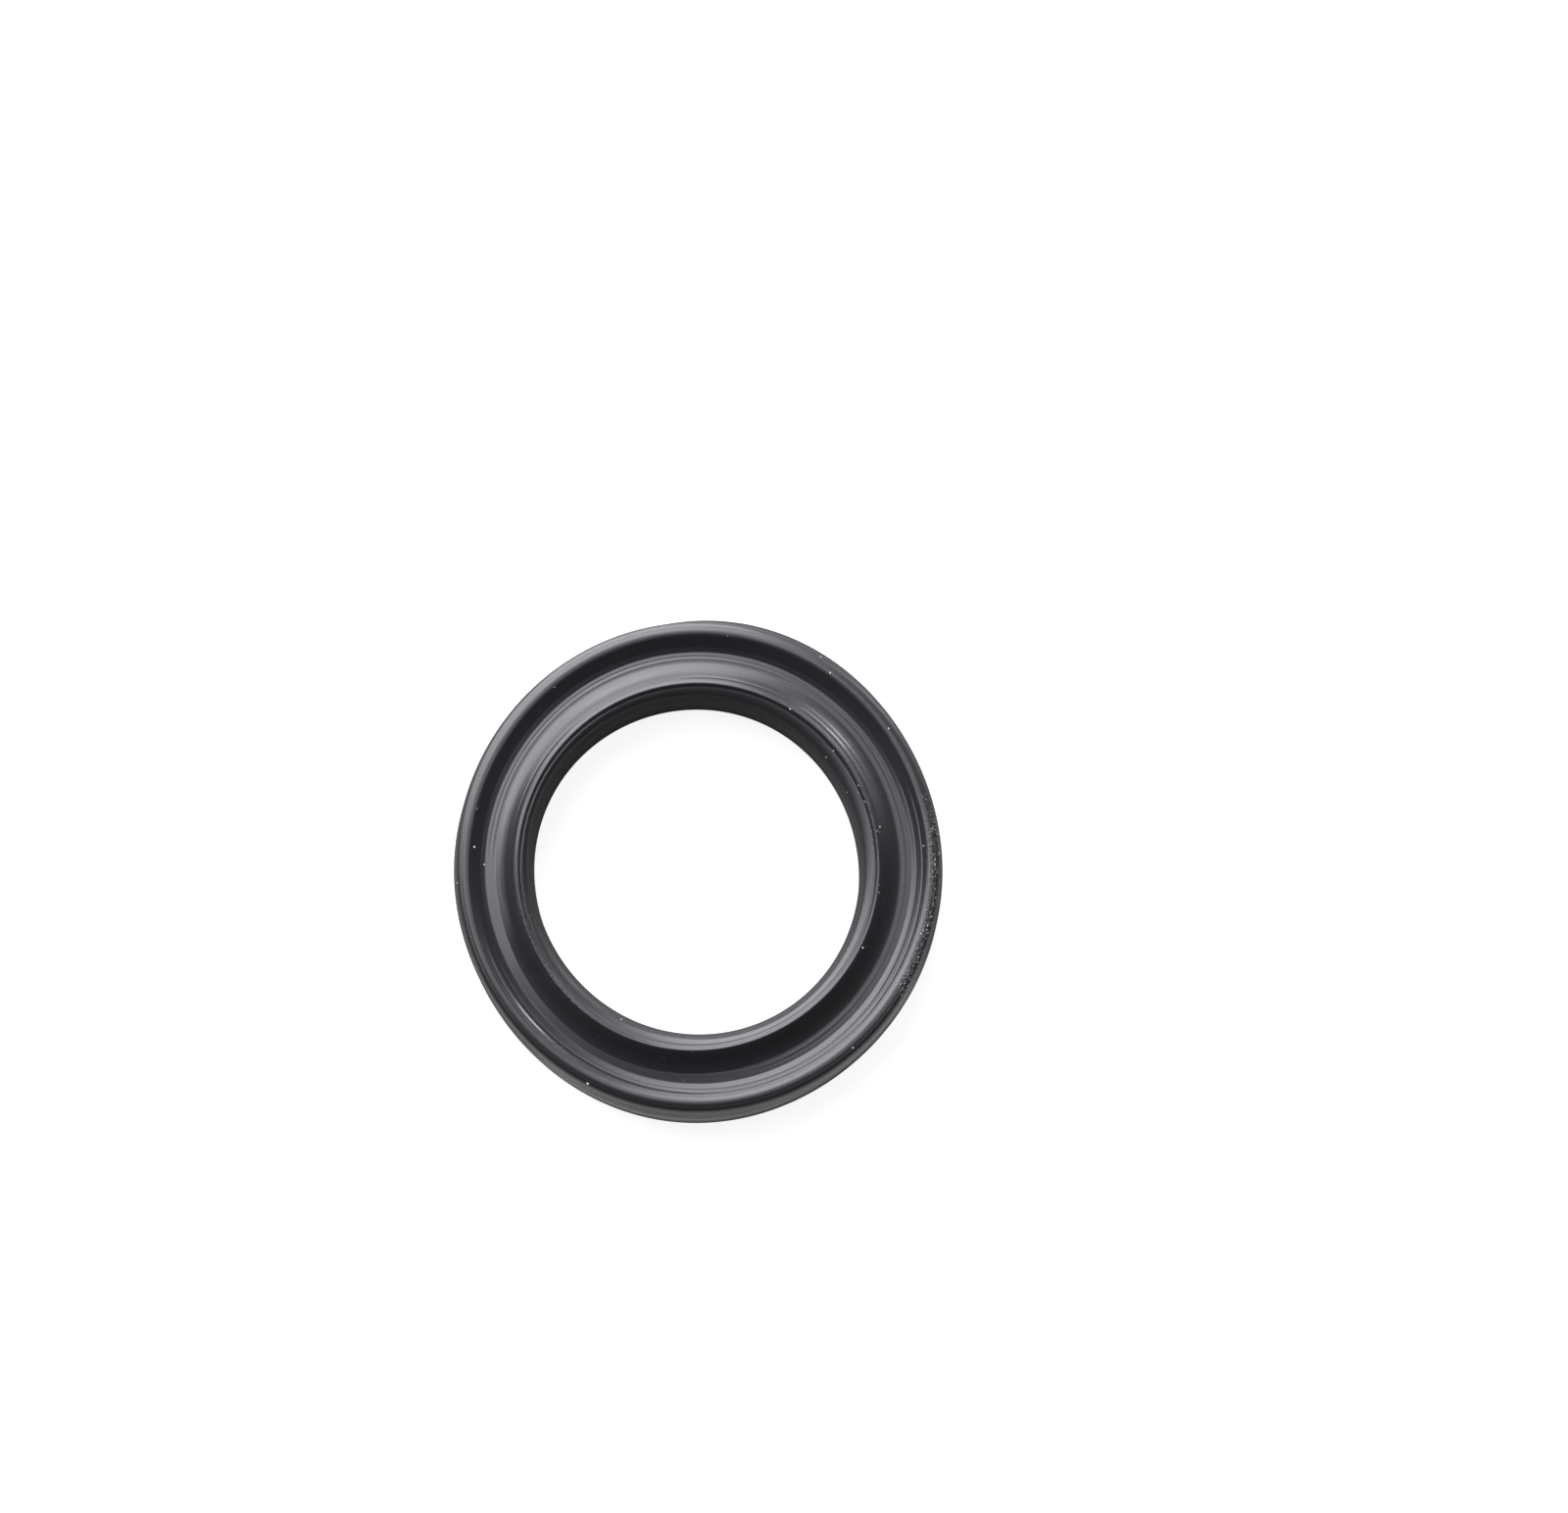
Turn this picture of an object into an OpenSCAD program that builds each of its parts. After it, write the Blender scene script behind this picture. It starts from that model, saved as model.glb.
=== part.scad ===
// Lip-profiled ring seal, moulded in one piece of black rubber.
// It lies heel down: +Z is the ring's axis, z = 0 is the heel face and both lips point up.
// The whole ring is one section in the radius and height plane, turned about the axis.

/* [Ring] */
// Diameter of the bore that closes round the rod
bore_d = 20; // [19:0.1:20.8]
// Diameter of the outer wall that sits in the housing
outer_d = 30; // [29.2:0.1:32]
// Height from the heel face to the top of the inner lip
height = 5; // [4.8:0.1:7]

/* [Heel] */
// Height at which the plain outer wall ends and the outer lip begins
heel_h = 3.5; // [3:0.05:3.6]
// Width of the flat chamfer on both heel corners
heel_chamfer = 0.25; // [0.05:0.05:0.6]
// Radius that rounds the top edge of the plain outer wall
shoulder_round = 0.1; // [0.03:0.01:0.15]

/* [Outer lip] */
// How far the outer lip stands back from the plain outer wall
lip_setback = 0.18; // [0.12:0.01:0.3]
// Radius of the outer lip's outer edge
edge_round = 0.52; // [0.4:0.01:0.56]
// Slope of the flank between that edge and the bead, in degrees
flank_slope = 23; // [15:1:30]
// Radius of the bead along the top of the outer lip
bead_round = 0.48; // [0.4:0.01:0.6]
// Distance from the plain outer wall in to the crest of the bead
bead_inset = 0.83; // [0.78:0.01:0.95]
// Radius of the shallow relief that is cut in below the outer lip
relief_round = 0.25; // [0.15:0.01:0.28]
// How deep that relief goes in behind the side of the outer lip
relief_depth = 0.1; // [0.04:0.01:0.2]

/* [Groove] */
// Slope of the outer lip's inner face, in degrees
wall_slope = 36; // [28:1:42]
// Width of that face, measured on the radius
wall_w = 0.59; // [0.45:0.01:0.7]
// Slope of the gentler foot below that face, in degrees
foot_slope = 24; // [15:1:30]
// Width of the foot, measured on the radius
foot_w = 0.3; // [0.15:0.01:0.4]
// Slope of the groove's floor, which falls outward, in degrees
floor_slope = 8; // [2:1:12]
// Slope at which the inner lip's curved foot meets the floor, in degrees
bend_slope = 21; // [15:1:28]
// Width of that curved foot, measured on the radius
bend_w = 0.75; // [0.5:0.01:0.85]

/* [Inner lip] */
// Slope of the inner lip's outer face, in degrees
face_slope = 40; // [34:1:46]
// Width of that face, measured on the radius
face_w = 0.49; // [0.35:0.01:0.6]
// Radius of the crest along the top of the inner lip
crest_round = 0.13; // [0.08:0.01:0.18]
// Distance from the bore out to the top of the crest
crest_inset = 1.03; // [0.98:0.01:1.1]
// Slope of the crest's short flank on the bore side, in degrees
crest_slope = 41; // [34:1:46]
// Radius of the round mouth of the bore
mouth_round = 1.01; // [0.95:0.01:1.06]
// How far the crest stands above the round of the mouth
crest_rise = 0.12; // [0.08:0.01:0.15]

/* [Hidden] */

// Smoothness of every arc and of the turned ring
ARC_FN = 96;
RING_FN = 180;

bore_r = bore_d / 2;
outer_r = outer_d / 2;
lip_r = outer_r - lip_setback;

// The point of an arc that lies at a slope, which is negative where the surface falls outward
function on_arc(centre, radius, slope) = centre + radius * [-sin(slope), cos(slope)];

// The inner lip's crest and the round mouth of the bore, each by its centre
crest = [bore_r + crest_inset, height - crest_round];
mouth = [bore_r + mouth_round, height - crest_rise - mouth_round];

// The crest's short flank, drawn long enough to end inside the round of the mouth
crest_side = on_arc(crest, crest_round, crest_slope);
crest_sunk = crest_side - 2 * crest_rise * [1, tan(crest_slope)];

// The inner lip's outer face, from the crest down to the curved foot
face_top = on_arc(crest, crest_round, -face_slope);
face_foot = face_top + face_w * [1, -tan(face_slope)];

// The curved foot, hollow like a cove, with its centre above the groove
bend_round = bend_w / (sin(face_slope) - sin(bend_slope));
bend = face_foot + bend_round * [sin(face_slope), cos(face_slope)];
bend_foot = bend - bend_round * [sin(bend_slope), cos(bend_slope)];

// The floor takes the width that the other parts of the groove leave
bead_x = outer_r - bead_inset;
wall_top_x = bead_x - bead_round * sin(wall_slope);
floor_w = wall_top_x - wall_w - foot_w - bend_foot[0];
floor_end = bend_foot + floor_w * [1, -tan(floor_slope)];
wall_foot = floor_end + foot_w * [1, tan(foot_slope)];
wall_top = wall_foot + wall_w * [1, tan(wall_slope)];

// The outer lip's bead, its flank and its outer edge
bead = wall_top - bead_round * [-sin(wall_slope), cos(wall_slope)];
flank_top = on_arc(bead, bead_round, -flank_slope);
edge_x = lip_r - edge_round;
flank_w = edge_x + edge_round * sin(flank_slope) - flank_top[0];
flank_foot = flank_top + flank_w * [1, -tan(flank_slope)];
edge = [edge_x, flank_foot[1] - edge_round * cos(flank_slope)];

// The straight stretches of the section, anticlockwise from the heel's inner corner
function section_outline() = [
    [bore_r + heel_chamfer, 0],
    [outer_r - heel_chamfer, 0],
    [outer_r, heel_chamfer],
    [outer_r, heel_h - shoulder_round],
    [outer_r - shoulder_round, heel_h - shoulder_round],
    [outer_r - shoulder_round, heel_h],
    [lip_r, heel_h],
    [lip_r, edge[1]],
    flank_foot,
    flank_top,
    wall_top,
    wall_foot,
    floor_end,
    bend_foot,
    face_foot,
    face_top,
    crest,
    crest_side,
    crest_sunk,
    [crest_sunk[0], mouth[1]],
    [bore_r, mouth[1]],
    [bore_r, heel_chamfer]
];

// A full round, laid on the section at its centre
module round_at(centre, radius) {
    translate(centre)
        circle(r = radius, $fn = ARC_FN);
}

// The round mouth of the bore, which is the quarter that faces the axis and the top
module mouth_quarter() {
    intersection() {
        round_at(mouth, mouth_round);
        translate([bore_r, mouth[1]])
            square(mouth_round);
    }
}

// The hollow of the curved foot, cut from the chord that joins its two ends
module bend_hollow() {
    intersection() {
        round_at(bend, bend_round);
        polygon([bend, 2 * face_foot - bend, 2 * bend_foot - bend]);
    }
}

// The section of the ring, with radius to the right and height upwards
module seal_section() {
    difference() {
        union() {
            polygon(section_outline());
            mouth_quarter();
            round_at(crest, crest_round);
            round_at(bead, bead_round);
            round_at(edge, edge_round);
            round_at([outer_r - shoulder_round, heel_h - shoulder_round], shoulder_round);
        }
        bend_hollow();
        round_at([lip_r - relief_depth + relief_round, heel_h + relief_round], relief_round);
    }
}

// The rubber ring
module seal_ring() {
    color("#2b2a2e")
        rotate_extrude($fn = RING_FN)
            seal_section();
}

seal_ring();
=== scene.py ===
"""Dresses a lip-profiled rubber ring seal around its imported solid.

The ring is a body of revolution. Its closed section, with a rounded outer lip, a shallow groove and an
inner lip with a narrow crest, is traced point by point in edit mode and spun about the axis. Moves of the
vertices then ease it out of round, as soft rubber lies, and marks on them say where the finish changes. All
lengths in the classes below are millimetres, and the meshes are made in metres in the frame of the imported
solid: +Z is the ring's axis, z = 0 is the heel face that it lies on, and the lips point up.
"""

import logging
import math
from dataclasses import dataclass, field

import bpy
import numpy as np
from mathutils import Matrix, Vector


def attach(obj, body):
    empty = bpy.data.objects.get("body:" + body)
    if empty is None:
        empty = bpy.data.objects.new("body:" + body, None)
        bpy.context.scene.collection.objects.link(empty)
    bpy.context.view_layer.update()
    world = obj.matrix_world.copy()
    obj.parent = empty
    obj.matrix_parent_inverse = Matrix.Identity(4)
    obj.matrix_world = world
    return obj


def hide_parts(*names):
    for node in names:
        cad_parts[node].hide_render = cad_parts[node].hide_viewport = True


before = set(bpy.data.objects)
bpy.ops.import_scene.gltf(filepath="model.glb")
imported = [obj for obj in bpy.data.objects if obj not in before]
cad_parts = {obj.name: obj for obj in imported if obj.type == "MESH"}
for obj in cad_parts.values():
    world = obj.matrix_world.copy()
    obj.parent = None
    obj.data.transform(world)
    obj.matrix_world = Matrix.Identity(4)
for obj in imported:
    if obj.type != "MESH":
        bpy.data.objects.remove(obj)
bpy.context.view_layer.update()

LOG = logging.getLogger("ring_seal")

MM = 0.001
RING_NODE = "seal_ring"

# the marks that the vertices carry for the shaders
ROUGHNESS_MARK = "roughness_shift"
# where pale streaks are painted into the colour as highlights
PAINTED_HIGHLIGHT_MARK = "painted_highlights"
PIT_MARK = "pitted"
PALE_MARK = "pale"

# vertices closer than this are one, in metres
WELD = 1e-7

# the colour sockets of a Mix node, which share their names with others
MIX_FIRST, MIX_SECOND, MIX_RESULT = 6, 7, 2
NODE_GAP = 240
WHITE = (1.0, 1.0, 1.0, 1.0)

Point = tuple[float, float]
Span = tuple[float, float]
Socket = bpy.types.NodeSocket
Input = float | tuple[float, ...] | Socket


def linear(hex_colour: str) -> tuple[float, float, float, float]:
    """Turns an sRGB hex colour into the linear values that the shaders take.

    Args:
        hex_colour: The colour as "#rrggbb".

    Returns:
        Linear red, green and blue, with an alpha of 1.
    """
    channels = [int(hex_colour[i : i + 2], 16) / 255 for i in (1, 3, 5)]
    curve = [c / 12.92 if c <= 0.04045 else ((c + 0.055) / 1.055) ** 2.4 for c in channels]
    return (*curve, 1.0)


def arc(centre: Point, radius: float, start: float, end: float, steps: int) -> list[Point]:
    """Walks along a round stretch of the section.

    Args:
        centre: The arc's centre, in mm.
        radius: Its radius, in mm.
        start: The angle of its first point, in degrees from the outward direction.
        end: The angle of its last point, in degrees.
        steps: How many equal steps it is cut into.

    Returns:
        The points of the arc, both ends included.
    """
    angles = [math.radians(start + (end - start) * i / steps) for i in range(steps + 1)]
    return [(centre[0] + radius * math.cos(a), centre[1] + radius * math.sin(a)) for a in angles]


def uphill(start: Point, width: float, slope: float) -> Point:
    """Steps outward along a straight slope.

    Args:
        start: Where the step begins, as (radius, height) in mm.
        width: Its width, measured on the radius, in mm.
        slope: The slope in degrees, negative where it falls outward.

    Returns:
        The point where the step ends.
    """
    return (start[0] + width, start[1] + width * math.tan(math.radians(slope)))


def run_round(angle: np.ndarray, start: float, end: float, fade: float) -> tuple[np.ndarray, np.ndarray]:
    """Says how far along a stretch of the ring each angle lies, and how strong the stretch is there.

    Args:
        angle: The angles in radians, clockwise from the right seen from above.
        start: Where the stretch begins, in degrees.
        end: Where it ends, in degrees; the same as the start for the whole ring.
        fade: The angle over which it fades in and out, in degrees.

    Returns:
        The share of the way from start to end, and the strength, both from 0 to 1.
    """
    length = (end - start) % 360 or 360.0
    way = (np.degrees(angle) - start) % 360
    if length == 360:
        return way / length, np.ones_like(way)
    strength = np.clip(np.minimum(way, length - way) / fade, 0, 1)
    return np.clip(way / length, 0, 1), strength * strength * (3 - 2 * strength)


@dataclass(frozen=True)
class MouldStep:
    """A fine step that the turned mould leaves round the ring, given by the rise beyond it, in mm."""

    radius: float
    width: float
    rise: float
    start: float = 0.0
    end: float = 0.0
    fade: float = 20.0

    def values(self, radius: np.ndarray, angle: np.ndarray) -> np.ndarray:
        """Works out how much higher the top lies at many points.

        Args:
            radius: The points' radii, in mm.
            angle: Their angles, in radians.

        Returns:
            The rises, in mm.
        """
        strength = run_round(angle, self.start, self.end, self.fade)[1]
        return self.rise * strength * np.clip((radius - self.radius) / self.width + 0.5, 0, 1)


@dataclass(frozen=True)
class Trail:
    """A soft band that runs part of the way round the top, such as a fold, a polished stretch or a painted
    highlight.

    Angles are in degrees, clockwise from the right seen from above, and lengths in mm. The amount is a
    rise in mm, a strength or a change of roughness.
    """

    start: float
    end: float
    start_r: float
    end_r: float
    half_width: float
    amount: float
    fade: float = 12.0

    def values(self, radius: np.ndarray, angle: np.ndarray) -> np.ndarray:
        """Works out the trail's amount at many points.

        Args:
            radius: The points' radii, in mm.
            angle: Their angles, in radians.

        Returns:
            The amounts, which fade to nothing at the trail's edges and ends.
        """
        way, strength = run_round(angle, self.start, self.end, self.fade)
        middle = self.start_r + (self.end_r - self.start_r) * way
        across = np.clip(np.abs(radius - middle) / self.half_width, 0, 1)
        return self.amount * strength * np.cos(across * math.pi / 2) ** 2


@dataclass(frozen=True)
class SealSection:
    """The section of the ring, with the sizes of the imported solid, in mm and degrees."""

    bore_r: float = 10.0
    outer_r: float = 15.0
    height: float = 5.0
    heel_h: float = 3.5
    heel_chamfer: float = 0.25
    shoulder_z: Span = (3.3, 3.95)
    lip_setback: float = 0.18
    edge_round: float = 0.52
    flank_slope: float = 23.0
    bead_round: float = 0.48
    bead_inset: float = 0.83
    wall_slope: float = 36.0
    wall_w: float = 0.59
    foot_slope: float = 24.0
    foot_w: float = 0.3
    floor_slope: float = 8.0
    bend_slope: float = 21.0
    bend_w: float = 0.75
    face_slope: float = 40.0
    face_w: float = 0.49
    crest_round: float = 0.13
    crest_inset: float = 1.03
    crest_slope: float = 41.0
    mouth_round: float = 1.01
    crest_rise: float = 0.12
    mouth_steps: int = 40
    crest_steps: int = 10
    bend_steps: int = 10
    bead_steps: int = 20
    edge_steps: int = 14
    shoulder_points: int = 13
    step_w: float = 0.032

    def inner_lip(self) -> list[Point]:
        """Walks over the inner lip, from the bore to the top of its outer face.

        Returns:
            The points of the round mouth, the crest's short flank and the crest.
        """
        crest = (self.bore_r + self.crest_inset, self.height - self.crest_round)
        mouth = (self.bore_r + self.mouth_round, self.height - self.crest_rise - self.mouth_round)
        slope = math.radians(self.crest_slope)
        side = (
            crest[0] - self.crest_round * math.sin(slope),
            crest[1] + self.crest_round * math.cos(slope),
        )
        # how far the mouth's centre lies below the flank's line gives the angle where the two meet
        drop = (side[1] - mouth[1]) * math.cos(slope) - (side[0] - mouth[0]) * math.sin(slope)
        meet = 90 + self.crest_slope - math.degrees(math.acos(drop / self.mouth_round))
        ends = (90 + self.crest_slope, 90 - self.face_slope)
        points = arc(mouth, self.mouth_round, 180, meet, self.mouth_steps)
        return points + arc(crest, self.crest_round, *ends, self.crest_steps)

    def groove(self, face_top: Point) -> list[Point]:
        """Walks through the shallow groove, from one lip's face to the other's.

        Args:
            face_top: The point where the inner lip's outer face begins.

        Returns:
            The points up to the foot of the outer lip's inner face.
        """
        face_foot = uphill(face_top, self.face_w, -self.face_slope)
        steep, gentle = math.radians(self.face_slope), math.radians(self.bend_slope)
        bend_r = self.bend_w / (math.sin(steep) - math.sin(gentle))
        bend = (face_foot[0] + bend_r * math.sin(steep), face_foot[1] + bend_r * math.cos(steep))
        points = arc(bend, bend_r, 270 - self.face_slope, 270 - self.bend_slope, self.bend_steps)
        bead_r = self.outer_r - self.bead_inset
        wall_top_r = bead_r - self.bead_round * math.sin(math.radians(self.wall_slope))
        floor_w = wall_top_r - self.wall_w - self.foot_w - points[-1][0]
        points.append(uphill(points[-1], floor_w, -self.floor_slope))
        points.append(uphill(points[-1], self.foot_w, self.foot_slope))
        return points

    def outer_lip(self, wall_foot: Point) -> list[Point]:
        """Walks over the outer lip, from its inner face to its side.

        Args:
            wall_foot: The foot of the outer lip's inner face.

        Returns:
            The points of the bead, the flank and the outer edge.
        """
        wall_top = uphill(wall_foot, self.wall_w, self.wall_slope)
        slope = math.radians(self.wall_slope)
        bead = (
            wall_top[0] + self.bead_round * math.sin(slope),
            wall_top[1] - self.bead_round * math.cos(slope),
        )
        ends = (90 + self.wall_slope, 90 - self.flank_slope)
        points = arc(bead, self.bead_round, *ends, self.bead_steps)
        flank = math.radians(self.flank_slope)
        edge_r = self.outer_r - self.lip_setback - self.edge_round
        flank_w = edge_r + self.edge_round * math.sin(flank) - points[-1][0]
        flank_foot = uphill(points[-1], flank_w, -self.flank_slope)
        edge = (edge_r, flank_foot[1] - self.edge_round * math.cos(flank))
        return points + arc(edge, self.edge_round, 90 - self.flank_slope, 0, self.edge_steps)

    def crown(self) -> list[Point]:
        """Walks over the whole top of the ring, from the bore to the side of the outer lip.

        Returns:
            The points, in even steps.
        """
        points = self.inner_lip()
        points += self.groove(points[-1])
        points += self.outer_lip(points[-1])
        return self.evened(points)

    def evened(self, points: list[Point]) -> list[Point]:
        """Spaces the points of the top evenly, so that smooth shading follows each turn of it.

        Args:
            points: The points of the top, from the bore outward.

        Returns:
            The same line in even steps.
        """
        spans = [math.dist(here, there) for here, there in zip(points, points[1:])]
        count = round(sum(spans) / self.step_w)
        even, index, walked = [points[0]], 0, 0.0
        for i in range(1, count):
            target = sum(spans) * i / count
            while walked + spans[index] < target:
                walked += spans[index]
                index += 1
            share = (target - walked) / spans[index]
            (r0, z0), (r1, z1) = points[index], points[index + 1]
            even.append((r0 + (r1 - r0) * share, z0 + (z1 - z0) * share))
        return even + [points[-1]]

    def outline(self) -> list[Point]:
        """Walks round the section anticlockwise, from the heel's inner corner.

        Returns:
            The closed outline's points as (radius, height), the first one not repeated.
        """
        lip_r = self.outer_r - self.lip_setback
        low, high = self.shoulder_z
        points = [(self.bore_r + self.heel_chamfer, 0.0), (self.outer_r - self.heel_chamfer, 0.0)]
        points += [(self.outer_r, self.heel_chamfer), (self.outer_r, self.heel_h / 2)]
        # the soft shoulder between the wall and the side of the lip, round below and hollow above
        for share in np.linspace(0, 1, self.shoulder_points):
            swing = (1 + math.cos(math.pi * share)) / 2
            points.append((lip_r + self.lip_setback * swing, low + (high - low) * share))
        points += self.crown()[::-1]
        points += [(self.bore_r, self.heel_h / 2), (self.bore_r, self.heel_chamfer)]
        return points


class NodeTree:
    """The shader nodes of a material or of the world, laid out as they are added."""

    def __init__(self, owner: bpy.types.Material | bpy.types.World) -> None:
        """Starts with no nodes.

        Args:
            owner: The material or the world that the nodes belong to.
        """
        owner.use_nodes = True
        self.tree = owner.node_tree
        self.tree.nodes.clear()

    def add(self, kind: str, links: dict[str | int, Input] | None = None, **settings) -> bpy.types.Node:
        """Adds one node with its settings and links.

        Args:
            kind: The node's type, without the "ShaderNode" in front.
            links: Input name or number to a value, or to the output socket that feeds it.
            **settings: Properties of the node itself.

        Returns:
            The new node.
        """
        node = self.tree.nodes.new("ShaderNode" + kind)
        node.location = (NODE_GAP * len(self.tree.nodes), 0)
        for key, value in settings.items():
            setattr(node, key, value)
        for key, value in (links or {}).items():
            if isinstance(value, Socket):
                self.tree.links.new(value, node.inputs[key])
            else:
                node.inputs[key].default_value = value
        return node

    def mark(self, name: str) -> Socket:
        """Reads one of the marks that the vertices carry."""
        return self.add("Attribute", attribute_name=name).outputs["Fac"]

    def math(self, operation: str, *values: Input, use_clamp: bool = False) -> Socket:
        """Works out a number.

        Args:
            operation: What the node does with its values.
            *values: The numbers, or the sockets that feed them.
            use_clamp: Whether the result is kept from 0 to 1.

        Returns:
            The result.
        """
        links = dict(enumerate(values))
        return self.add("Math", links, operation=operation, use_clamp=use_clamp).outputs["Value"]

    def vector(self, operation: str, *values: Input, result: str = "Vector") -> Socket:
        """Works out a vector, or a number from vectors.

        Args:
            operation: What the node does with its values.
            *values: The vectors, or the sockets that feed them.
            result: Name of the output that is wanted.

        Returns:
            The result.
        """
        return self.add("VectorMath", dict(enumerate(values)), operation=operation).outputs[result]

    def ramp(self, value: Socket, taken: Span, given: Span, clamp: bool = True) -> Socket:
        """Maps one range of a number onto another.

        Args:
            value: The socket that feeds the number.
            taken: The two ends of its range.
            given: The two ends that they become.
            clamp: Whether the result stays between those.

        Returns:
            The result.
        """
        links = dict(zip(("Value", "From Min", "From Max", "To Min", "To Max"), (value, *taken, *given)))
        return self.add("MapRange", links, clamp=clamp).outputs["Result"]

    def noise(self, place: Socket, size: float, detail: float, roughness: float = 0.5) -> Socket:
        """Draws a noise with patches of a real size.

        Args:
            place: The socket that feeds the place.
            size: The size of its patches, in the unit of the place.
            detail: How many finer layers it has.
            roughness: How strong each finer layer is against the one before.

        Returns:
            The noise as a value from 0 to 1.
        """
        links = {"Vector": place, "Scale": 1 / size, "Detail": detail, "Roughness": roughness}
        return self.add("TexNoise", links).outputs["Fac"]

    def relief(self, height: Socket, depth: Input, under: Socket | None = None) -> Socket:
        """Lays a fine relief on the surface.

        Args:
            height: The pattern, from 0 to 1.
            depth: How high its highest places stand, in metres.
            under: The normal of the relief that it lies on, where there is one.

        Returns:
            The normal.
        """
        links = {"Strength": 1.0, "Distance": depth, "Height": height}
        if under is not None:
            links["Normal"] = under
        return self.add("Bump", links).outputs["Normal"]

    def mixed(self, share: Input, first: Input, second: Input) -> Socket:
        """Mixes two colours.

        Args:
            share: How much of the second one there is, from 0 to 1.
            first: The first colour.
            second: The second colour.

        Returns:
            The mixed colour.
        """
        links = {"Factor": share, MIX_FIRST: first, MIX_SECOND: second}
        return self.add("Mix", links, data_type="RGBA").outputs[MIX_RESULT]


@dataclass(frozen=True)
class MouldedRubber:
    """Black nitrile rubber, compression moulded in a turned steel mould.

    The mould leaves a satin skin with a fine grain, and the thin lines of its own turning run round the ring.
    Marked stretches have a coarser grain and shallow pits. The film of wax that such rubber sweats out makes
    it a little glossier than bare rubber. Pale streaks along other marked stretches are painted highlights,
    laid into the colour where light catches the lips and the groove. The bore has no such film.
    """

    name: str = "nitrile_rubber_moulded"
    cool_colour: str = "#242328"
    warm_colour: str = "#272527"
    # the pale grey of the painted highlight streaks
    painted_highlight_colour: str = "#6f6e72"
    tint_mm: float = 6.0
    tint_detail: float = 1.0
    roughness: float = 0.36
    ior: float = 1.54
    film: float = 1.0
    film_tint: str = "#fcf9ff"
    grain_mm: float = 0.12
    grain_detail: float = 3.0
    grain_roughness: float = 0.6
    grain_depth_mm: float = 0.003
    rough_grain_depth_mm: float = 0.02
    pit_mm: float = 0.24
    pit_detail: float = 1.0
    pit_depth_mm: float = 0.05
    turning_mm: float = 0.13
    turning_run_mm: float = 5.0
    turning_detail: float = 2.0
    turning_depth_mm: float = 0.01
    turning_fall: float = 0.5
    middle_r: float = 12.5

    def draw_turning(self, nodes: NodeTree, place: Socket) -> Socket:
        """Draws the thin lines that run round the ring.

        Args:
            nodes: The material's nodes.
            place: The object coordinates.

        Returns:
            The lines as a value from 0 to 1.
        """
        flat = nodes.vector("MULTIPLY", place, (1, 1, 0))
        radius = nodes.vector("LENGTH", flat, result="Value")
        height = nodes.add("SeparateXYZ", {"Vector": place}).outputs["Z"]
        walk = nodes.math("MULTIPLY_ADD", height, self.turning_fall, radius)
        across = nodes.math("MULTIPLY", walk, 1 / (self.turning_mm * MM))
        runs = self.middle_r / self.turning_run_mm
        along = nodes.vector("MULTIPLY", nodes.vector("NORMALIZE", flat), (runs, runs, 0))
        spread = nodes.add("CombineXYZ", {"Z": across}).outputs["Vector"]
        return nodes.noise(nodes.vector("ADD", along, spread), 1.0, self.turning_detail)

    def lay_relief(self, nodes: NodeTree, place: Socket, turning: Socket) -> Socket:
        """Lays the lines of the turning, the grain and the pits over each other.

        Args:
            nodes: The material's nodes.
            place: The object coordinates.
            turning: The lines that run round the ring.

        Returns:
            The normal of the skin.
        """
        pitted = nodes.mark(PIT_MARK)
        grain = nodes.noise(place, self.grain_mm * MM, self.grain_detail, self.grain_roughness)
        depths = (self.grain_depth_mm * MM, self.rough_grain_depth_mm * MM)
        depth = nodes.ramp(pitted, (0, 1), depths, clamp=False)
        lumps = nodes.noise(place, self.pit_mm * MM, self.pit_detail)
        pits = nodes.math("MULTIPLY", lumps, pitted, use_clamp=True)
        lined = nodes.relief(turning, self.turning_depth_mm * MM)
        grained = nodes.relief(grain, depth, lined)
        return nodes.relief(pits, self.pit_depth_mm * MM, grained)

    def mix_colour(self, nodes: NodeTree, place: Socket, turning: Socket) -> Socket:
        """Mixes the colour of the skin, with pale streaks painted in as highlights along the marked
        stretches.

        Args:
            nodes: The material's nodes.
            place: The object coordinates.
            turning: The lines that run round the ring.

        Returns:
            The colour.
        """
        patches = nodes.noise(place, self.tint_mm * MM, self.tint_detail)
        tint = nodes.mixed(patches, linear(self.cool_colour), linear(self.warm_colour))
        # pale streaks painted into the colour as highlights where light catches the top
        painted_streaks = nodes.math("MULTIPLY", nodes.mark(PAINTED_HIGHLIGHT_MARK), turning)
        return nodes.mixed(painted_streaks, tint, linear(self.painted_highlight_colour))

    def build(self) -> bpy.types.Material:
        """Makes the material.

        Returns:
            The finished material.
        """
        material = bpy.data.materials.new(self.name)
        nodes = NodeTree(material)
        place = nodes.add("TexCoord").outputs["Object"]
        turning = self.draw_turning(nodes, place)
        shader = nodes.add(
            "BsdfPrincipled",
            {
                "Base Color": self.mix_colour(nodes, place, turning),
                "Roughness": nodes.math("ADD", nodes.mark(ROUGHNESS_MARK), self.roughness),
                "IOR": self.ior,
                "Specular IOR Level": self.film,
                "Specular Tint": linear(self.film_tint),
                "Normal": self.lay_relief(nodes, place, turning),
            },
        )
        nodes.add("OutputMaterial", {"Surface": shader.outputs["BSDF"]})
        return material


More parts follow.
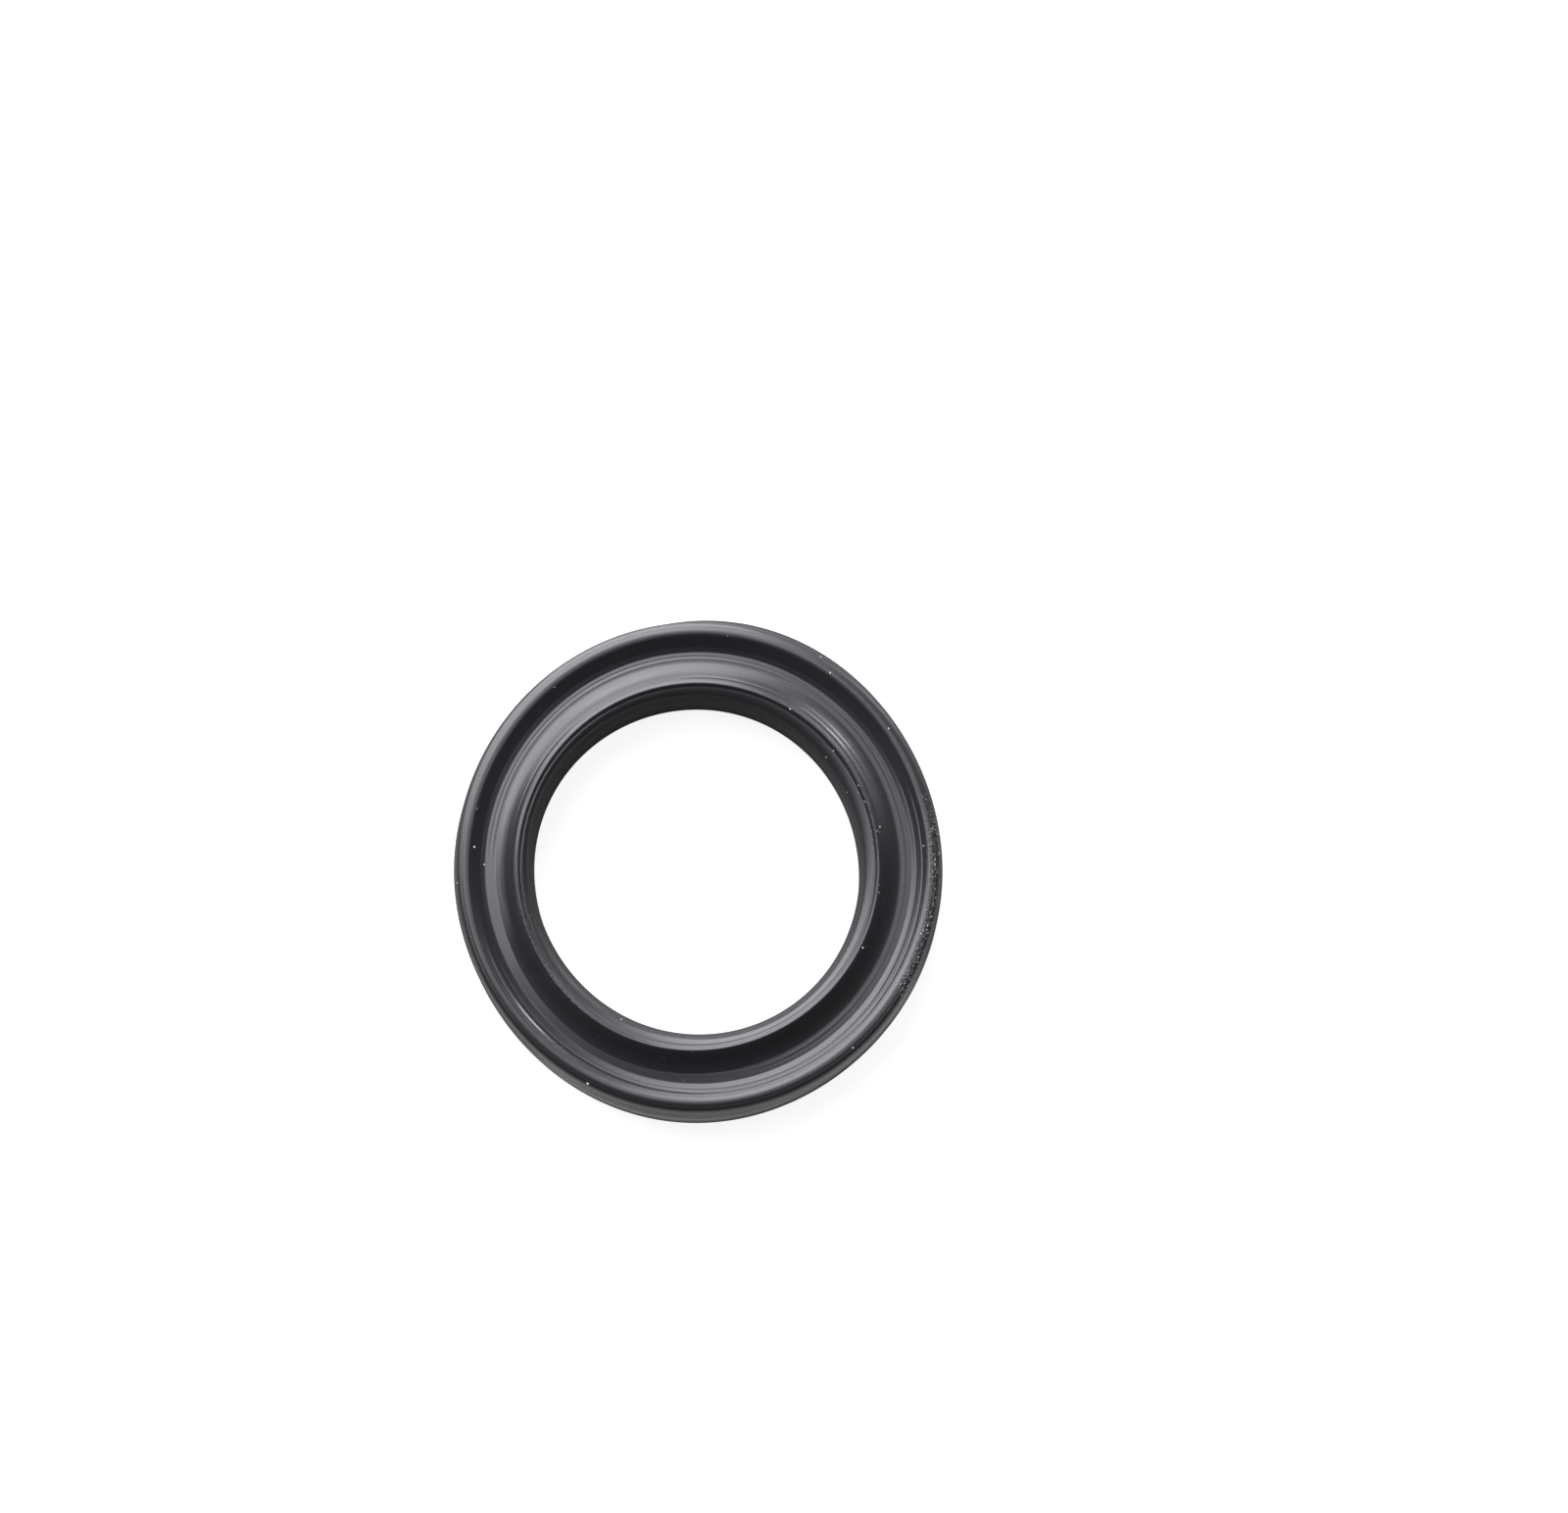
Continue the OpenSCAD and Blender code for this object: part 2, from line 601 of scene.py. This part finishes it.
@dataclass(frozen=True)
class Wave:
    """How far one part of the soft ring lies out of round, as waves of rising number round it.

    Each turn is a pair, the amounts in mm along the cosine and the sine of the angle.
    """

    mean: float
    turns: tuple[Point, ...]

    def at(self, angle: np.ndarray) -> np.ndarray:
        """Works out the outward shift at many angles.

        Args:
            angle: The angles, in radians.

        Returns:
            The shifts, in mm.
        """
        shift = np.full_like(angle, self.mean)
        for number, (even, odd) in enumerate(self.turns, 1):
            shift += even * np.cos(number * angle) + odd * np.sin(number * angle)
        return shift


@dataclass(frozen=True)
class Warp:
    """The waves of the ring's four parts, and where one part gives way to the next, in mm."""

    bore: Wave = Wave(0.014, ((-0.074, -0.019), (-0.007, 0.09), (-0.027, -0.009), (-0.006, 0.017)))
    inner_lip: Wave = Wave(0.02, ((0.0, 0.0), (-0.005, -0.021), (0.032, -0.005), (-0.006, 0.017)))
    outer_lip: Wave = Wave(0.015, ((0.038, -0.028), (0.016, -0.007), (0.009, -0.005), (0.007, -0.001)))
    wall: Wave = Wave(-0.05, ((0.08, 0.02), (-0.045, -0.08), (-0.045, 0.015), (0.06, 0.045)))
    mouth_r: Span = (10.25, 10.75)
    groove_r: Span = (12.3, 12.9)
    relief_z: Span = (3.85, 3.5)

    def shift(self, radius: np.ndarray, height: np.ndarray, angle: np.ndarray) -> np.ndarray:
        """Works out the outward shift of many points.

        Args:
            radius: The points' radii, in mm.
            height: Their heights, in mm.
            angle: Their angles, in radians.

        Returns:
            The shifts, in mm.
        """
        shift = self.bore.at(angle)
        zones = (
            (radius, self.mouth_r, self.inner_lip),
            (radius, self.groove_r, self.outer_lip),
            (np.where(radius > self.groove_r[1], height, math.inf), self.relief_z, self.wall),
        )
        for place, (start, end), wave in zones:
            share = np.clip((place - start) / (end - start), 0, 1)
            shift = shift * (1 - share) + wave.at(angle) * share
        return shift


@dataclass
class SealRing:
    """The ring itself, spun from its section and eased out of round as soft rubber lies.

    Inside bore_r the skin turns dull over the heights bore_z. The side of the ring below the lip is polished
    over wall_front, the stretch that faces the camera, and dull on the rest.
    """

    name: str = "moulded_ring"
    section: SealSection = field(default_factory=SealSection)
    finish: MouldedRubber = field(default_factory=MouldedRubber)
    spin_steps: int = 400
    smooth_angle: float = 35.0
    stretch: tuple[float, float] = (0.99, 1.01)
    warp: Warp = field(default_factory=Warp)
    steps: tuple[MouldStep, ...] = (
        MouldStep(10.33, 0.06, 0.02),
        MouldStep(11.18, 0.05, 0.012),
        MouldStep(11.44, 0.14, -0.03, 150, 206, 15.0),
        MouldStep(11.36, 0.14, -0.03, 190, 234, 15.0),
        MouldStep(12.52, 0.05, 0.016, 175, 80),
        MouldStep(12.67, 0.05, -0.012, 175, 80),
        MouldStep(12.79, 0.05, 0.013, 175, 80),
        MouldStep(14.45, 0.06, 0.012),
    )
    folds: tuple[Trail, ...] = (
        Trail(-28, 48, 13.69, 13.66, 0.09, -0.042, 15.0),
        Trail(-28, 40, 13.31, 13.31, 0.09, -0.025),
        Trail(32, 104, 13.62, 13.54, 0.11, -0.01, 14.0),
        Trail(80, 176, 13.54, 13.42, 0.15, -0.05, 30.0),
        Trail(124, 168, 13.87, 13.87, 0.08, -0.022, 10.0),
        Trail(-8, 132, 10.79, 10.74, 0.08, -0.018),
        Trail(150, 205, 11.2, 11.2, 0.1, 0.03, 15.0),
        Trail(150, 232, 11.5, 11.34, 0.12, -0.022),
        Trail(262, 304, 11.42, 11.42, 0.1, -0.02),
        Trail(300, 352, 11.36, 11.28, 0.08, -0.035, 10.0),
        Trail(302, 340, 11.64, 11.64, 0.08, -0.012, 10.0),
    )
    polished: tuple[Trail, ...] = (
        Trail(122, 162, 13.7, 13.71, 0.1, -0.26, 8.0),
        Trail(298, 338, 11.48, 11.48, 0.09, -0.26),
        Trail(298, 336, 11.77, 11.77, 0.08, -0.22),
        Trail(330, 405, 13.9, 13.9, 1.2, -0.09, 20.0),
        Trail(140, 216, 12.6, 12.6, 2.4, -0.07, 20.0),
    )
    # stretches where pale streaks are painted into the colour as highlights
    painted_highlights: tuple[Trail, ...] = (
        Trail(306, 336, 11.5, 11.5, 0.2, 0.2),
        Trail(302, 330, 11.48, 11.48, 0.08, 0.4),
        Trail(168, 246, 10.8, 10.8, 0.1, 0.8, 15.0),
        Trail(126, 164, 13.71, 13.72, 0.08, 0.45, 10.0),
        Trail(338, 38, 13.12, 13.12, 0.14, 0.35),
        Trail(155, 198, 12.12, 12.12, 0.4, 0.9, 15.0),
        Trail(226, 264, 11.9, 11.9, 0.35, 0.7, 15.0),
        Trail(222, 296, 14.7, 14.7, 0.2, 1.0, 20.0),
    )
    pitted: tuple[Trail, ...] = (
        Trail(342, 36, 14.45, 14.45, 0.5, 1.0, 10.0),
        Trail(328, 362, 10.95, 10.95, 0.35, 0.7, 10.0),
        Trail(150, 215, 10.6, 10.6, 0.6, 0.4, 15.0),
        Trail(118, 162, 13.71, 13.72, 0.16, -0.17, 8.0),
        Trail(120, 172, 11.05, 11.05, 0.3, 0.8, 12.0),
    )
    top_from: float = 3.6
    bore_dullness: float = 0.4
    bore_z: Span = (4.65, 4.35)
    bore_r: float = 10.8
    wall_polish: float = -0.14
    wall_dullness: float = 0.3
    wall_front: Span = (15.0, 140.0)
    wall_fade: float = 20.0
    wall_z: float = 3.9
    wall_r: float = 14.8

    def trace_section(self) -> bpy.types.Object:
        """Traces the closed section, by extruding a single point from corner to corner.

        Returns:
            The object that holds the outline, in the plane of X and Z.
        """
        points = [Vector((x * MM, 0, z * MM)) for x, z in self.section.outline()]
        bpy.ops.object.select_all(action="DESELECT")
        bpy.ops.mesh.primitive_plane_add(size=MM, location=points[0])
        ring = bpy.context.object
        bpy.ops.object.mode_set(mode="EDIT")
        bpy.ops.mesh.select_all(action="SELECT")
        bpy.ops.mesh.merge(type="CENTER")
        for here, there in zip(points, points[1:]):
            bpy.ops.mesh.extrude_region_move(TRANSFORM_OT_translate={"value": there - here})
        bpy.ops.mesh.extrude_region_move(TRANSFORM_OT_translate={"value": points[0] - points[-1]})
        bpy.ops.mesh.select_all(action="SELECT")
        bpy.ops.mesh.remove_doubles(threshold=WELD)
        bpy.ops.object.mode_set(mode="OBJECT")
        bpy.ops.object.transform_apply(location=True, rotation=True, scale=True)
        return ring

    def spin(self, ring: bpy.types.Object) -> None:
        """Spins the traced section about the ring's axis and closes the surface.

        Args:
            ring: The object that holds the outline.
        """
        bpy.ops.object.mode_set(mode="EDIT")
        bpy.ops.mesh.select_all(action="SELECT")
        bpy.ops.mesh.spin(
            steps=self.spin_steps,
            dupli=False,
            angle=math.tau,
            use_auto_merge=True,
            center=(0, 0, 0),
            axis=(0, 0, 1),
        )
        bpy.ops.mesh.select_all(action="SELECT")
        bpy.ops.mesh.remove_doubles(threshold=WELD)
        bpy.ops.mesh.normals_make_consistent(inside=False)
        bpy.ops.object.mode_set(mode="OBJECT")
        bpy.ops.object.shade_smooth_by_angle(angle=math.radians(self.smooth_angle))

    def total(
        self,
        parts: tuple[MouldStep | Trail, ...],
        radius: np.ndarray,
        height: np.ndarray,
        angle: np.ndarray,
    ) -> np.ndarray:
        """Adds up trails or steps over the top of the ring.

        Args:
            parts: The trails or steps.
            radius: The points' radii, in mm.
            height: Their heights, in mm.
            angle: Their angles, in radians.

        Returns:
            The sums, which are nothing below the lips.
        """
        sums = sum(part.values(radius, angle) for part in parts)
        return np.where(height > self.top_from, sums, 0)

    def settle(self, radius: np.ndarray, height: np.ndarray, angle: np.ndarray) -> np.ndarray:
        """Moves points of the true section to where the eased ring has them.

        Args:
            radius: The points' radii, in mm.
            height: Their heights, in mm.
            angle: Their angles, in radians.

        Returns:
            The places, one row of x, y and z in mm for each point.
        """
        settled = height + self.total(self.steps + self.folds, radius, height, angle)
        eased = radius + self.warp.shift(radius, height, angle)
        x = eased * np.cos(angle) * self.stretch[0]
        y = -eased * np.sin(angle) * self.stretch[1]
        return np.stack([x, y, settled], axis=1)

    def ease(self, ring: bpy.types.Object) -> None:
        """Eases the ring out of round, lays the folds on it and marks where the finish changes.

        Args:
            ring: The spun ring.
        """
        mesh = ring.data
        flat = np.empty(3 * len(mesh.vertices))
        mesh.vertices.foreach_get("co", flat)
        x, y, z = flat.reshape(-1, 3).T / MM
        radius, angle = np.hypot(x, y), np.arctan2(-y, x)
        top, foot = self.bore_z
        bore = np.where(radius < self.bore_r, np.clip((top - z) / (top - foot), 0, 1), 0)
        wall = np.where((radius > self.wall_r) & (z < self.wall_z), 1, 0)
        front = run_round(angle, *self.wall_front, self.wall_fade)[1]
        roughness = self.total(self.polished, radius, z, angle) + self.bore_dullness * bore
        roughness += wall * (self.wall_polish * front + self.wall_dullness * (1 - front))
        marks = {
            ROUGHNESS_MARK: roughness,
            PAINTED_HIGHLIGHT_MARK: self.total(self.painted_highlights, radius, z, angle),
            PIT_MARK: self.total(self.pitted, radius, z, angle),
        }
        for name, values in marks.items():
            mesh.attributes.new(name, "FLOAT", "POINT").data.foreach_set("value", values)
        mesh.vertices.foreach_set("co", (self.settle(radius, z, angle) * MM).ravel())
        mesh.update()

    def surface(self, radius: np.ndarray, angle: np.ndarray) -> np.ndarray:
        """Finds places on the finished top.

        Args:
            radius: Their radii on the true section, in mm.
            angle: Their angles, in radians.

        Returns:
            The places, one row of x, y and z in mm for each.
        """
        radii, heights = zip(*self.section.crown())
        return self.settle(radius, np.interp(radius, radii, heights), angle)

    def build(self) -> bpy.types.Object:
        """Makes the ring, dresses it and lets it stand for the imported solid.

        Returns:
            The finished ring.
        """
        ring = self.trace_section()
        self.spin(ring)
        self.ease(ring)
        ring.name = self.name
        ring.data.materials.append(self.finish.build())
        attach(ring, "root")
        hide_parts(RING_NODE)
        return ring


@dataclass(frozen=True)
class Lint:
    """Pale specks of dust and lint, which settle on the waxy film of the rubber."""

    name: str = "settled_dust_and_lint"
    dim_colour: str = "#55555a"
    pale_colour: str = "#e8e8e4"
    roughness: float = 0.8

    def build(self) -> bpy.types.Material:
        """Makes the material.

        Returns:
            The finished material.
        """
        material = bpy.data.materials.new(self.name)
        nodes = NodeTree(material)
        colour = nodes.mixed(nodes.mark(PALE_MARK), linear(self.dim_colour), linear(self.pale_colour))
        shader = nodes.add("BsdfPrincipled", {"Base Color": colour, "Roughness": self.roughness})
        nodes.add("OutputMaterial", {"Surface": shader.outputs["BSDF"]})
        return material


@dataclass(frozen=True)
class Speck:
    """One speck of dust: its angle in degrees, its radius and width in mm, and how pale it is."""

    angle: float
    radius: float
    width: float
    pale: float


@dataclass(frozen=True)
class Sprinkle:
    """Finer specks sprinkled at random over a stretch of the top, in degrees and mm."""

    count: int
    start: float
    end: float
    inner_r: float
    outer_r: float
    width: Span
    pale: Span

    def draw(self, rng: np.random.Generator) -> list[Speck]:
        """Draws the specks.

        Args:
            rng: The seeded source of chance.

        Returns:
            The specks.
        """
        ranges = ((self.start, self.end), (self.inner_r, self.outer_r), self.width, self.pale)
        return [Speck(*(rng.uniform(*span) for span in ranges)) for _ in range(self.count)]


@dataclass
class Dust:
    """The specks that lie on the ring, each one a small uneven lump."""

    ring: SealRing
    name: str = "dust_specks"
    finish: Lint = field(default_factory=Lint)
    seed: int = 7
    unevenness: float = 0.3
    flatness: float = 0.6
    placed: tuple[Speck, ...] = (
        Speck(117.0, 14.63, 0.19, 1.0),
        Speck(185.0, 13.7, 0.16, 1.0),
        Speck(180.8, 13.04, 0.13, 0.8),
        Speck(176.2, 14.69, 0.13, 0.5),
        Speck(194.5, 13.91, 0.1, 0.4),
        Speck(26.0, 11.18, 0.15, 0.8),
        Speck(48.9, 14.45, 0.16, 0.8),
        Speck(29.1, 14.42, 0.11, 0.4),
        Speck(14.1, 14.42, 0.14, 0.7),
        Speck(16.5, 14.18, 0.13, 0.7),
        Speck(11.0, 14.42, 0.12, 0.5),
        Speck(9.0, 14.48, 0.11, 0.5),
        Speck(8.2, 11.15, 0.11, 0.4),
        Speck(354.9, 13.79, 0.13, 0.6),
        Speck(356.8, 14.7, 0.12, 0.5),
        Speck(348.0, 11.36, 0.13, 0.5),
        Speck(349.2, 11.12, 0.11, 0.4),
        Speck(339.3, 10.88, 0.12, 0.5),
        Speck(333.8, 10.94, 0.11, 0.4),
        Speck(334.0, 10.3, 0.12, 0.5),
        Speck(324.6, 14.27, 0.14, 0.8),
        Speck(320.2, 10.79, 0.13, 0.6),
        Speck(320.1, 10.35, 0.12, 0.4),
        Speck(304.8, 14.18, 0.15, 0.9),
        Speck(300.8, 14.7, 0.13, 0.6),
        Speck(300.9, 11.0, 0.13, 0.7),
        Speck(277.5, 14.03, 0.1, 0.4),
        Speck(231.0, 13.91, 0.11, 0.4),
        Speck(116.7, 10.3, 0.13, 0.6),
    )
    sprinkled: tuple[Sprinkle, ...] = (
        Sprinkle(70, 342, 392, 14.1, 14.75, (0.05, 0.09), (0.1, 0.5)),
        Sprinkle(30, 350, 390, 14.15, 14.7, (0.08, 0.13), (0.1, 0.6)),
        Sprinkle(70, 348, 394, 14.1, 14.7, (0.08, 0.14), (0.0, 0.2)),
        Sprinkle(24, 325, 368, 10.6, 11.5, (0.05, 0.09), (0.1, 0.45)),
        Sprinkle(70, 0, 360, 10.2, 14.7, (0.04, 0.08), (0.0, 0.35)),
    )

    def shape_lump(self, speck: Speck, place: np.ndarray, rng: np.random.Generator) -> bpy.types.Object:
        """Shapes one speck as a low, uneven lump.

        Args:
            speck: The speck.
            place: Where its middle lies, in metres.
            rng: The seeded source of chance.

        Returns:
            The lump.
        """
        radius = speck.width / 2 * MM
        bpy.ops.mesh.primitive_ico_sphere_add(subdivisions=1, radius=radius, location=place)
        lump = bpy.context.object
        lump.scale = (1, rng.uniform(1 - self.unevenness, 1), self.flatness)
        lump.rotation_euler.z = rng.uniform(0, math.pi)
        pale = lump.data.attributes.new(PALE_MARK, "FLOAT", "POINT")
        for vertex, value in zip(lump.data.vertices, pale.data):
            vertex.co *= 1 + rng.uniform(-self.unevenness, self.unevenness)
            value.value = speck.pale
        return lump

    def build(self) -> bpy.types.Object:
        """Makes one lump for each speck, sets it on the ring and joins them all.

        Returns:
            The finished specks.
        """
        rng = np.random.default_rng(self.seed)
        specks = list(self.placed)
        for sprinkle in self.sprinkled:
            specks += sprinkle.draw(rng)
        radius = np.array([speck.radius for speck in specks])
        angle = np.radians([speck.angle for speck in specks])
        places = self.ring.surface(radius, angle) * MM
        bpy.ops.object.select_all(action="DESELECT")
        lumps = [self.shape_lump(speck, place, rng) for speck, place in zip(specks, places)]
        for lump in lumps:
            lump.select_set(True)
        bpy.ops.object.join()
        dust = bpy.context.object
        bpy.ops.object.transform_apply(location=True, rotation=True, scale=True)
        dust.name = self.name
        dust.data.name = self.name
        dust.data.materials.append(self.finish.build())
        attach(dust, "root")
        return dust


@dataclass(frozen=True)
class SoftLamp:
    """A studio softbox that looks at the ring, given by its place and its spread as the ring sees it."""

    name: str
    azimuth: float
    elevation: float
    spread_w: float
    spread_h: float
    radiance: float
    distance: float = 500.0

    def build(self) -> bpy.types.Object:
        """Hangs the lamp, facing the origin and unseen by the camera.

        Returns:
            The lamp.
        """
        data = bpy.data.lights.new(self.name, "AREA")
        data.shape = "RECTANGLE"
        data.size = 2 * self.distance * MM * math.tan(math.radians(self.spread_w / 2))
        data.size_y = 2 * self.distance * MM * math.tan(math.radians(self.spread_h / 2))
        data.energy = self.radiance * math.pi * data.size * data.size_y
        lamp = bpy.data.objects.new(self.name, data)
        a, e = math.radians(self.azimuth), math.radians(self.elevation)
        back = Vector((math.cos(a) * math.cos(e), math.sin(a) * math.cos(e), math.sin(e)))
        lamp.location = back * self.distance * MM
        lamp.rotation_mode = "QUATERNION"
        lamp.rotation_quaternion = back.to_track_quat("Z", "Y")
        lamp.visible_camera = False
        bpy.context.scene.collection.objects.link(lamp)
        return lamp


@dataclass
class Studio:
    """The pale floor, the lamps and the camera.

    The floor also glows for glossy rays alone, a painted reflection that brightens the side of the ring which
    faces the camera. The glow begins and is full at the two radii given for it, and at the two places given
    for it on the side of the ring that faces the camera. Nearer the ring there is no glow, so that the foot
    of that side and the bore reflect a painted dark contact shade.
    """

    floor_half: float = 600.0
    floor_colour: str = "#bcbcbc"
    floor_lift: float = 0.85
    # strength and reach of the floor's glow for glossy rays, a painted reflection on the rubber
    floor_painted_reflection: float = 0.3
    painted_reflection_r: Span = (15.3, 15.7)
    painted_reflection_y: Span = (-4.0, -9.0)
    world_strength: float = 0.05
    lamps: tuple[SoftLamp, ...] = (
        SoftLamp("softbox_low", 112, 12, 66, 24, 4.21),
        SoftLamp("softbox_middle", 118, 38, 75, 30, 4.39),
        SoftLamp("softbox_high", 130, 66, 50, 26, 2.71),
        SoftLamp("window_right", 47, 13, 8, 24, 5.39),
        SoftLamp("strip_right", 57, 10, 10, 16, 2.96),
        SoftLamp("fill_right", 33, 10, 20, 16, 1.35),
        SoftLamp("softbox_above_right", 0, 70, 30, 30, 1.4),
    )
    image_w_px: int = 1600
    image_h_px: int = 1544
    ring_px: Point = (711.5, 883.6)
    px_per_mm: float = 16.9
    sensor_mm: float = 36.0
    distance: float = 420.0
    tilt_down: float = 7.1
    clip_start: float = 1.0

    def light_floor(self, nodes: NodeTree) -> Socket:
        """Works out the light that the floor gives to the camera, and the painted reflection that it gives to
        the rubber in front.

        Args:
            nodes: The floor's nodes.

        Returns:
            The strength of that light.
        """
        rays = nodes.add("LightPath").outputs
        place = nodes.add("TexCoord").outputs["Object"]
        radius = nodes.vector("LENGTH", place, result="Value")
        forward = nodes.add("SeparateXYZ", {"Vector": place}).outputs["Y"]
        # painted reflection: a glow that only glossy rays see, kept off near the ring so that a painted dark
        # contact shade shows in the rubber
        painted_reflection = rays["Is Glossy Ray"]
        for way, span, most in ((radius, self.painted_reflection_r, self.floor_painted_reflection), (forward, self.painted_reflection_y, 1.0)):
            share = nodes.ramp(way, (span[0] * MM, span[1] * MM), (0, most))
            painted_reflection = nodes.math("MULTIPLY", painted_reflection, share)
        seen = nodes.math("MULTIPLY", rays["Is Camera Ray"], self.floor_lift)
        return nodes.math("ADD", painted_reflection, seen)

    def build_floor(self) -> bpy.types.Object:
        """Lays the pale sheet, which shows white to the camera and keeps the ring's shadow.

        Returns:
            The floor.
        """
        bpy.ops.object.select_all(action="DESELECT")
        bpy.ops.mesh.primitive_plane_add(size=2 * self.floor_half * MM, location=(0, 0, 0))
        floor = bpy.context.object
        floor.name = "pale_floor"
        paper = bpy.data.materials.new("white_paper_sheet")
        nodes = NodeTree(paper)
        matte = nodes.add("BsdfDiffuse", {"Color": linear(self.floor_colour)})
        # the glow shows the floor white to the camera and adds the painted reflection on the rubber's side
        glow = nodes.add("Emission", {"Color": WHITE, "Strength": self.light_floor(nodes)})
        lift = nodes.add("AddShader", {0: matte.outputs["BSDF"], 1: glow.outputs["Emission"]})
        nodes.add("OutputMaterial", {"Surface": lift.outputs["Shader"]})
        floor.data.materials.append(paper)
        return floor

    def build_world(self) -> None:
        """Sets a plain surround, which fills the shadows a little and shows white to the camera."""
        world = bpy.data.worlds.new("white_surround")
        nodes = NodeTree(world)
        seen = nodes.add("LightPath").outputs["Is Camera Ray"]
        strength = nodes.math("MAXIMUM", seen, self.world_strength)
        surround = nodes.add("Background", {"Color": WHITE, "Strength": strength})
        nodes.add("OutputWorld", {"Surface": surround.outputs["Background"]})
        bpy.context.scene.world = world

    def build_camera(self, ring_height: float) -> bpy.types.Object:
        """Puts the camera above the ring, so that the ring shows where it does in the picture.

        Args:
            ring_height: Height of the tops of the lips above the floor, in mm.

        Returns:
            The camera.
        """
        data = bpy.data.cameras.new("camera")
        data.sensor_width = self.sensor_mm
        data.lens = self.sensor_mm * self.distance * self.px_per_mm / self.image_w_px
        data.clip_start = self.clip_start * MM
        camera = bpy.data.objects.new("camera", data)
        back = Vector((0, -math.tan(math.radians(self.tilt_down)), 1)).normalized()
        turn = back.to_track_quat("Z", "Y")
        side, up = turn @ Vector((1, 0, 0)), turn @ Vector((0, 1, 0))
        aim = Vector((0, 0, ring_height))
        aim += side * ((self.image_w_px / 2 - self.ring_px[0]) / self.px_per_mm)
        aim += up * ((self.ring_px[1] - self.image_h_px / 2) / self.px_per_mm)
        camera.location = (aim + back * self.distance) * MM
        camera.rotation_mode = "QUATERNION"
        camera.rotation_quaternion = turn
        bpy.context.scene.collection.objects.link(camera)
        bpy.context.scene.camera = camera
        return camera

    def build(self, ring_height: float) -> None:
        """Builds the whole studio.

        Args:
            ring_height: Height of the tops of the lips above the floor, in mm.
        """
        self.build_camera(ring_height)
        self.build_floor()
        self.build_world()
        for lamp in self.lamps:
            lamp.build()
        bpy.context.scene.view_settings.view_transform = "Standard"


def main() -> None:
    """Builds the studio and the ring, and reports each piece."""
    logging.basicConfig(level=logging.INFO, format="%(name)s: %(message)s")
    section = SealSection()
    Studio().build(section.height)
    body = SealRing(section=section)
    ring = body.build()
    LOG.info("%s: %d faces", ring.name, len(ring.data.polygons))
    dust = Dust(body).build()
    LOG.info("%s: %d faces", dust.name, len(dust.data.polygons))


if __name__ == "__main__":
    main()
